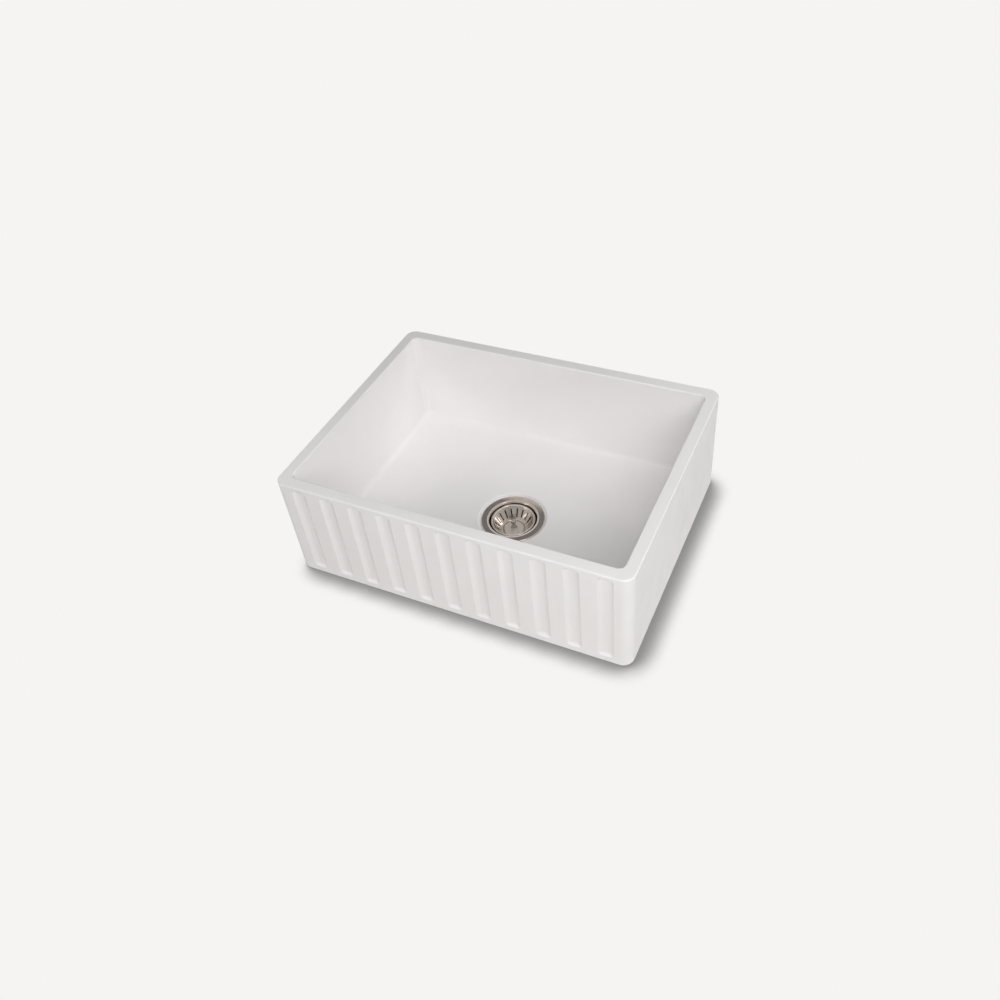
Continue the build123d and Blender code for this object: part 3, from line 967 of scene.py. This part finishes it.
first_slot = 2  # degrees
slot_step = 20  # degrees
slot_low = -8.1 * MM
slot_high = 4.4 * MM
slot_half = 1.1 * MM
for level in (slot_low, slot_high):
    grab(basket, "FACE", on_wall)
    cut((0, 0, level), (0, 0, 1))
for number in range(360 // slot_step):
    turn = radians(first_slot + slot_step * number)
    spoke = Vector((cos(turn), sin(turn)))
    beside = Vector((-spoke.y, spoke.x))

    def by_slot(face, reach=3.0 * MM):
        """True for a face of the wall at this slot, with its middle within reach of the spoke."""
        middle = face.calc_center_median()
        out = middle.to_2d() - waste
        in_ring = slot_low < middle.z < slot_high and out.dot(spoke) > 20 * MM
        return in_ring and abs(out.dot(beside)) < reach

    for side in (-slot_half, slot_half):
        grab(basket, "FACE", by_slot)
        cut((*(waste + beside * side), 0), (*beside, 0))
    found = grab(basket, "FACE", lambda face: by_slot(face, slot_half))
    bpy.ops.mesh.delete(type="FACE")
print("faces cut from the last slot:", found)
add_modifier(basket, "SOLIDIFY", thickness=0.8 * MM, offset=0, use_even_offset=True)
finish_piece(basket, "basket_cup", "basket_steel")

# %% [markdown]
# The basket is lifted by its knob. The post under it is turned from one bar: a taper above the basket,
# a thin stem that goes down into the outlet, and near its lower end a groove for a clip. The ferrule is
# the flared foot that covers the hole in the basket.

# %% Post, ferrule and knob
post = turned([
    (0, -35.8, 0), (2.5, -35.8, 0.4), (2.5, -34.8, 0), (1.9, -34.8, 0), (1.9, -34.0, 0), (2.5, -34.0, 0),
    (2.5, -7.5, 0), (3.8, -7.5, 0), (3.2, 1.0, 0), (2.0, 1.0, 0), (2.0, 5.0, 0.3), (0, 5.0, 0)], steps=48)
finish_piece(post, "lift_post", "polished_steel")

ferrule = turned([
    (2.55, -11.5, 0), (6.5, -11.5, 0.2), (6.5, -10.7, 0.4), (4.2, -9.6, 1.2), (4.2, -7.5, 0.2),
    (2.55, -7.5, 0)], steps=64)
finish_piece(ferrule, "post_ferrule", "polished_steel")

knob_radius = 4.8
knob_middle = 3.2
dome = [
    (knob_radius * cos(radians(turn)), knob_middle + knob_radius * sin(radians(turn)), 0)
    for turn in range(0, 100, 10)]
knob = turned([(2.05, 5.2, 0), (2.05, 1.0, 0), (3.6, 1.0, 0.3), *dome, (0, 5.2, 0)], steps=64)
finish_piece(knob, "lift_knob", "polished_steel")

# %% [markdown]
# ## The waste: stopper under the basket
#
# These pieces hang below the basket and only show once it is lifted: a steel washer, the rubber bell
# that closes the outlet, a plate and a nut that clamp it, and at the end of the stem the nylon bush
# that snaps into the bridge, with the small spring clip that keeps it there.

# %% Washer, rubber bell and plate
washer = turned([(2.55, -13.5, 0), (16.4, -13.5, 0.2), (16.4, -12.3, 0.2), (2.55, -12.3, 0)])
finish_piece(washer, "backing_washer", "polished_steel")
bell = turned([
    (2.55, -13.5, 0), (20.8, -13.5, 1.5), (29.0, -19.0, 0.8), (30.0, -21.1, 0.6), (28.4, -23.2, 0.8),
    (25.6, -23.2, 0.8), (24.0, -21.1, 0.8), (15.0, -16.5, 1.0), (2.55, -16.5, 0)])
finish_piece(bell, "stopper_seal", "stopper_rubber")
plate = turned([(2.55, -17.7, 0), (13.0, -17.7, 0.3), (13.0, -16.5, 0.3), (2.55, -16.5, 0)])
finish_piece(plate, "stopper_plate", "polished_steel")

# %% [markdown]
# The hexagon nut starts as a cylinder with six sides. Real nuts have their corners turned off, and a
# turned blank does that here: what the hexagon and the blank have in common is the nut.

# %% Hexagon nut
across_flats = 9 * MM
nut_height = 4.5 * MM
nut_middle = -19.95 * MM

fresh()
bpy.ops.mesh.primitive_cylinder_add(
    vertices=6, radius=across_flats / 2 / cos(pi / 6), depth=nut_height, location=(*waste, nut_middle),
    rotation=(0, 0, pi / 6))
hexagon = bpy.context.object
bpy.ops.object.transform_apply()
blank = turned([
    (2.55, -22.2, 0), (4.5, -22.2, 0), (5.3, -21.75, 0), (5.3, -18.15, 0), (4.5, -17.7, 0),
    (2.55, -17.7, 0)])
combine(hexagon, "INTERSECT", blank)
finish_piece(hexagon, "stopper_nut", "polished_steel", smooth=25)

# %% [markdown]
# The bush hangs on the stem and snaps into the bridge. The clip below it is a washer with a mouth, so
# that it can be pushed into the groove from the side. The bar that cuts the mouth is a little narrower
# than the post is there, which is what keeps the clip on.

# %% Snap bush and clip
bush = turned([
    (2.56, -33.8, 0.1), (3.46, -33.8, 0.3), (3.46, -23.4, 0), (5.16, -23.4, 0.2), (5.16, -22.4, 0.2),
    (2.56, -22.4, 0.1)], steps=64)
finish_piece(bush, "snap_bush", "bush_nylon")
clip = turned([(1.95, -34.8, 0), (3.2, -34.8, 0), (3.2, -34.0, 0), (1.95, -34.0, 0)], steps=64)
mouth = bar(6.4, 3.04, -35.8, -33.0, 0, round_edge=0.05)
moved(mouth, (3.2 * MM, 0, 0))
combine(clip, "DIFFERENCE", mouth)
finish_piece(clip, "stem_clip", "polished_steel")

# %% [markdown]
# ## Glaze
#
# Fireclay gets a thick white glaze. It is glossy but never quite flat, so reflections swim a little, and
# it stops short of the foot, where the casting stood in the kiln and the bare buff clay shows.


# %% Glaze material
def glaze_finish():
    """White glass over clay, with a bare foot."""
    finish = new_finish("white_glaze")
    cloud = finish.noise(0.11)
    tone = finish.mix(finish.between(cloud, 0.35, 0.65), colour(250, 248, 248), colour(248, 246, 246))
    level = finish.node("SeparateXYZ", {}, {"Vector": finish.place()}, output="Z")
    ragged = level + finish.noise(0.03, detail=5) * (1.2 * MM)
    bare = finish.between(ragged, 1.4 * MM, 1.8 * MM, 1.0, 0.0)
    grain = finish.noise(1.5 * MM, detail=4)
    biscuit = finish.mix(grain, colour(205, 190, 166), colour(222, 209, 188))
    swim = finish.bump(finish.noise(0.05), 0.05 * MM)
    peel = finish.bump(finish.noise(0.006), 0.008 * MM, under=swim)
    roughness = finish.between(finish.noise(0.05, detail=3), 0.3, 0.7, 0.17, 0.22) + bare * 0.6
    shader = finish.node("BsdfPrincipled", {}, {
        "Base Color": finish.mix(bare, tone, biscuit), "Roughness": roughness, "Normal": peel})
    return finish.node("OutputMaterial", {}, {"Surface": shader})


# %% [markdown]
# ## Finishes of the waste
#
# All the metal of the waste was turned or brushed round one axis, so its fine grooves are rings. The
# height map is noise along one line, the distance from that axis, which draws every groove as a circle.
# Smears of water and soap change the gloss a little from place to place.


# %% Metal
def from_axis(finish):
    """How far a point of the surface lies from the axis of the waste."""
    flat = finish.place((waste.x, waste.y, 0), (1, 1, 0))
    return finish.node("VectorMath", {"operation": "LENGTH"}, {0: flat}, output="Value")


def metal(name, tone, roughness, groove_depth=0.0, darker_below=None, brushed_within=None):
    """Bare metal with ring-shaped grooves and smears.

    From one level down to another it turns darker and duller: painted shade in the cup of the
    strainer body, and on the brass simply darker towards the bottom. Within a radius round the axis
    it can be brushed matt.
    """
    finish = new_finish(name)
    smear = finish.noise(0.012, detail=4)
    gloss = finish.between(smear, 0.3, 0.7, roughness - 0.02, roughness + 0.04)
    inputs = {"Base Color": colour(*tone), "Metallic": 1.0, "Roughness": gloss}
    # darker and duller towards the bottom: on the strainer body this is painted shade in its cup
    if darker_below:
        dark_tone, start, end = darker_below
        level = finish.node("SeparateXYZ", {}, {"Vector": finish.place()}, output="Z")
        share = finish.between(level + smear * (2 * MM), end * MM, start * MM, 1.0, 0.0)
        inputs["Base Color"] = finish.mix(share, colour(*tone), colour(*dark_tone))
        inputs["Roughness"] = gloss + share * 0.3
    if brushed_within:
        edge = brushed_within * MM
        inputs["Roughness"] = gloss + finish.between(from_axis(finish), edge - 0.2 * MM, edge, 0.35, 0.0)
    if groove_depth:
        line = finish.node("CombineXYZ", {}, {"X": from_axis(finish)})
        inputs["Normal"] = finish.bump(finish.noise(0.25 * MM, detail=3, where=line), groove_depth)
    shader = finish.node("BsdfPrincipled", {}, inputs)
    return finish.node("OutputMaterial", {}, {"Surface": shader})


# %% [markdown]
# Rubber, plastic and fibre have no grooves but a fine grain. One noise gives it its two tones, its
# change of gloss and its relief, so that all three agree.


# %% Rubber, plastic and fibre
def moulded(name, tone, other, roughness, grain, depth):
    """Rubber, plastic or fibre: two close tones in a grain, and the same grain as a fine relief."""
    finish = new_finish(name)
    speckle = finish.noise(grain, detail=4)
    shader = finish.node("BsdfPrincipled", {}, {
        "Base Color": finish.mix(speckle, colour(*tone), colour(*other)),
        "Roughness": finish.between(speckle, 0.3, 0.7, roughness - 0.05, roughness + 0.05),
        "Normal": finish.bump(speckle, depth)})
    return finish.node("OutputMaterial", {}, {"Surface": shader})


# %% [markdown]
# Each piece was given a slot when it was finished, and the slot says which of these it wears. The
# colours are those of the material itself, except the darker cup of the strainer body, which is painted
# shade. All else that light and reflections add is left to the studio.

# %% Finishes and their pieces
finishes = {
    "glaze": glaze_finish(),
    # the dark tone in the strainer cup below the flange is painted shade
    "strainer_steel": metal(
        "strainer_steel", (214, 202, 192), 0.11, 0.001 * MM, darker_below=((44, 41, 38), 9, -2)),
    "basket_steel": metal("basket_steel", (218, 211, 203), 0.12, 0.001 * MM, brushed_within=17),
    "polished_steel": metal("polished_steel", (162, 159, 155), 0.1, 0.001 * MM),
    # the brass turns darker towards the bottom
    "nipple_brass": metal(
        "nipple_brass", (200, 166, 104), 0.28, 0.004 * MM, darker_below=((150, 118, 76), -30, -44)),
    "seal_rubber": moulded("seal_rubber", (44, 44, 45), (54, 53, 52), 0.7, 0.8 * MM, 0.02 * MM),
    "stopper_rubber": moulded("stopper_rubber", (34, 34, 35), (42, 41, 41), 0.5, 1.5 * MM, 0.01 * MM),
    "fibre": moulded("fibre", (160, 132, 100), (122, 96, 70), 0.8, 0.9 * MM, 0.04 * MM),
    "nut_plastic": moulded("nut_plastic", (62, 62, 64), (70, 70, 72), 0.45, 0.5 * MM, 0.01 * MM),
    "bush_nylon": moulded("bush_nylon", (236, 231, 216), (228, 222, 205), 0.35, 2.0 * MM, 0.01 * MM),
}
for piece, slot in shown.values():
    piece.data.materials.clear()
    piece.data.materials.append(finishes[slot])
print("pieces with a finish:", len(shown))
